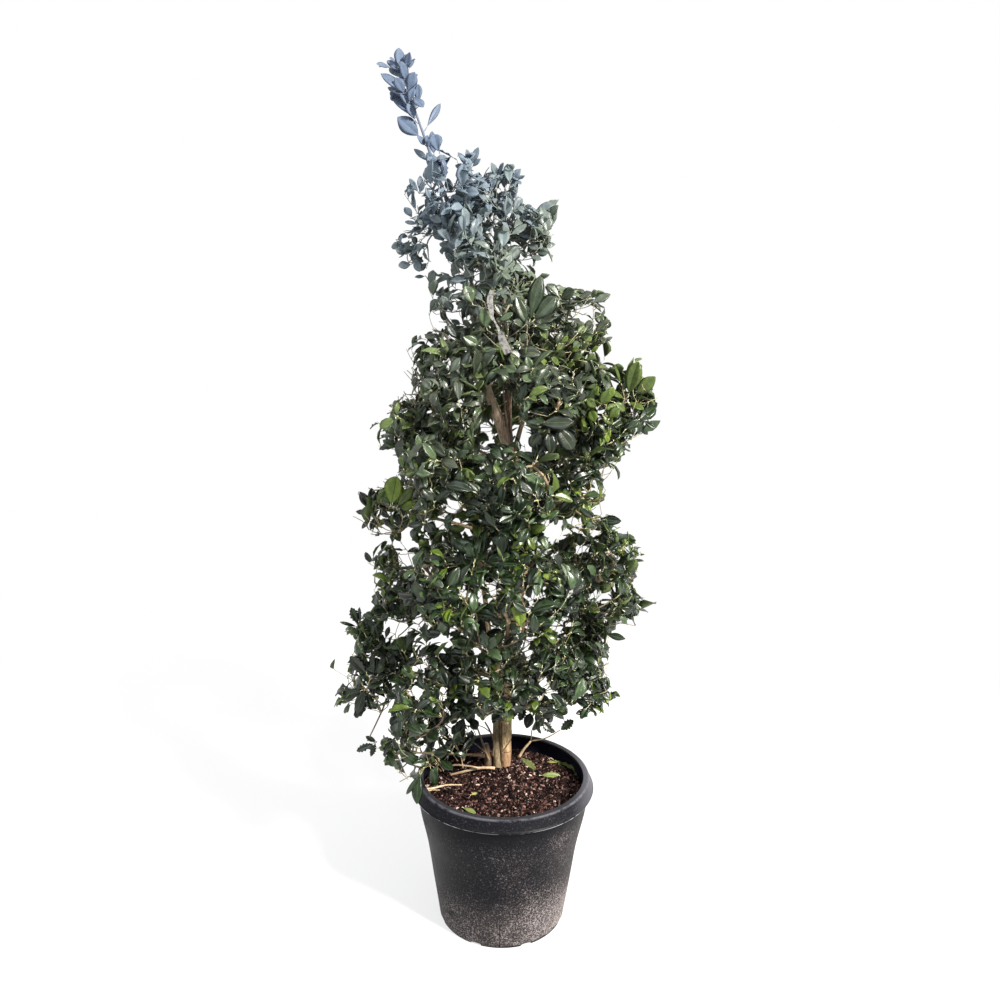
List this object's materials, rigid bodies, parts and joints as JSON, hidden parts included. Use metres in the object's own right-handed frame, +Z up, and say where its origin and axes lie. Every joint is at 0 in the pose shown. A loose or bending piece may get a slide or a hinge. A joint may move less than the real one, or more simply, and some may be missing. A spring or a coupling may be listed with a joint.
{
  "type": "potted holly tree",
  "caption": "Young broadleaf evergreen tree with a narrow, open crown of glossy leaves on a leaning trunk, in a round black nursery pot.",
  "frame": {"origin": "middle of the pot's flat underside", "axes": "+Z up, -Y to the front, +X to the right seen from the front"},
  "size_m": [0.8335, 0.7568, 2.1977],
  "materials": {
    "pot": "dusty black moulded plastic",
    "compost": "moist bark compost, coarse and loose",
    "bark": "smooth tan to grey-olive young bark",
    "foliage": "glossy dark green leaves in open sprays"
  },
  "bodies": {
    "root": {"belly_back": "foliage", "belly_back_right": "foliage", "belly_front": "foliage", "belly_front_left": "foliage", "belly_left": "foliage", "belly_right": "foliage", "bough_belly_left": "bark", "bough_belly_right": "bark", "bough_low_front": "bark", "bough_low_left": "bark", "bough_low_right": "bark", "bough_mid_left": "bark", "bough_mid_right": "bark", "bough_waist_left": "bark", "bough_waist_right": "bark", "fork_front": "bark", "fork_middle": "bark", "fork_right": "bark", "leader_neck": "foliage", "leader_tip": "foliage", "low_back": "foliage", "low_front": "foliage", "low_front_left": "foliage", "low_front_right": "foliage", "low_left": "foliage", "low_right": "foliage", "low_sprig": "foliage", "mid_back": "foliage", "mid_back_right": "foliage", "mid_front": "foliage", "mid_front_left": "foliage", "mid_left": "foliage", "mid_right": "foliage", "pot": "pot", "right_tip": "foliage", "rim_hang": "foliage", "shoot_left": "bark", "shoot_sprig": "bark", "shoulder_left": "foliage", "side_sprig": "foliage", "soil": "compost", "soil_left": "foliage", "stem_second": "bark", "top_back": "foliage", "top_front": "foliage", "top_left": "foliage", "top_middle": "foliage", "top_outer": "foliage", "top_right": "foliage", "trunk": "bark", "upper_back": "foliage", "upper_front": "foliage", "upper_left": "foliage", "upper_right": "foliage", "waist_back": "foliage", "waist_back_right": "foliage", "waist_front": "foliage", "waist_front_left": "foliage", "waist_left": "foliage", "waist_right": "foliage"}
  },
  "joints": []
}
